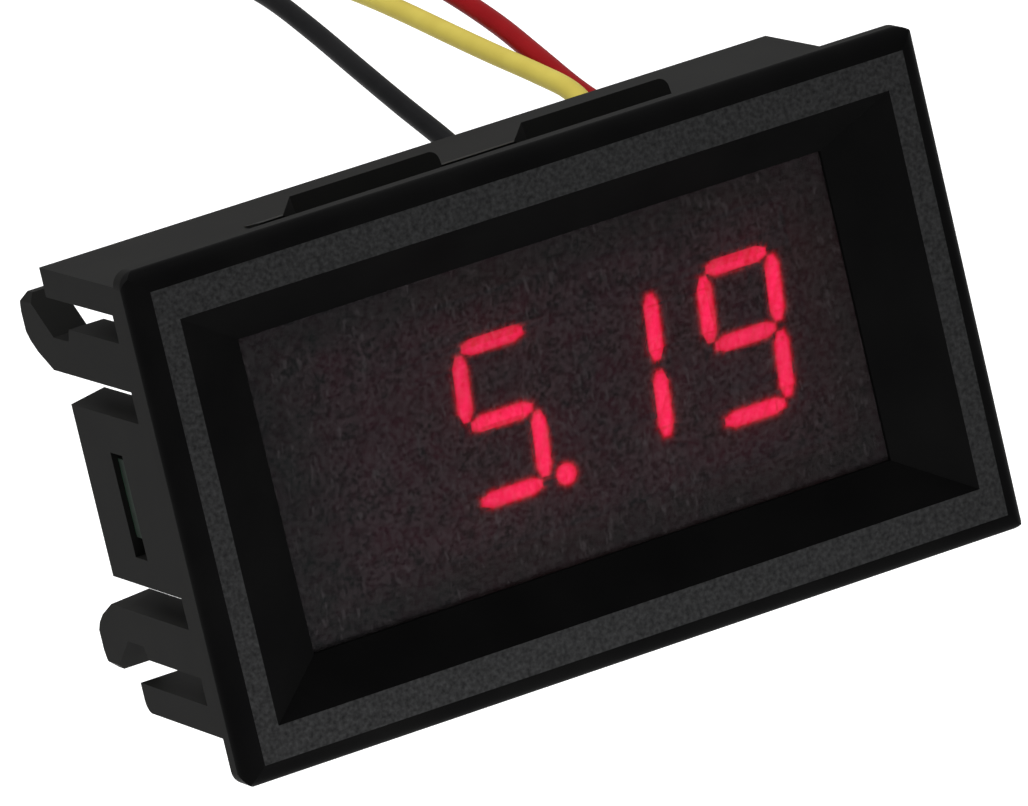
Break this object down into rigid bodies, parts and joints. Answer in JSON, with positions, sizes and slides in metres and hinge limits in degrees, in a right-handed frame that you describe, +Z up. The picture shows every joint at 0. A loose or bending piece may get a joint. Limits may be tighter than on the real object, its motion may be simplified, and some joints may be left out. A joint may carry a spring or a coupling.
{
  "type": "digital panel meter",
  "caption": "Snap-in digital panel meter with a slim bezel, a red LED display behind smoked film and three flying leads.",
  "frame": {"origin": "centre of the bezel's rear face, the plane that rests on the front of the panel", "axes": "+X to the right along the bezel as the display is read, +Y from the bezel to the rear, through the panel, +Z up"},
  "size_m": [0.048, 0.1142, 0.0335],
  "materials": {
    "housing_plastic": "fine-grained black moulding, smooth on the bezel's edge and in the recess",
    "smoked_film": "smoked film with a fine matt grain",
    "display_plastic": "matt dark grey display case",
    "unlit_segment": "milky resin",
    "lit_segment": "milky resin lit red from behind",
    "board_laminate": "green solder mask over glass fibre",
    "chip_plastic": "black moulded epoxy",
    "capacitor_ceramic": "tan sintered ceramic",
    "tinned_metal": "bright tin plating",
    "solder": "smooth solder",
    "black_insulation": "soft black insulation",
    "yellow_insulation": "soft yellow insulation",
    "red_insulation": "soft red insulation"
  },
  "bodies": {
    "root": {"housing": "housing_plastic", "window_film": "smoked_film", "display_case": "display_plastic", "digit_1_dark_segments": "unlit_segment", "digit_2_lit_segments": "lit_segment", "digit_2_dark_segments": "unlit_segment", "digit_3_lit_segments": "lit_segment", "digit_3_dark_segments": "unlit_segment", "digit_4_lit_segments": "lit_segment", "digit_4_dark_segments": "unlit_segment", "lit_decimal_point": "lit_segment", "dark_decimal_points": "unlit_segment", "display_pins": "tinned_metal", "circuit_board": "board_laminate", "microcontroller": "chip_plastic", "microcontroller_leads": "tinned_metal", "voltage_regulator": "chip_plastic", "regulator_leads": "tinned_metal", "protection_diode": "chip_plastic", "diode_terminals": "tinned_metal", "chip_resistors": "chip_plastic", "chip_capacitors": "capacitor_ceramic", "chip_end_caps": "tinned_metal", "solder_joints": "solder", "lead_conductors": "tinned_metal", "lead_black": "black_insulation", "lead_yellow": "yellow_insulation", "lead_red": "red_insulation", "lead_tips": "tinned_metal"}
  },
  "joints": []
}
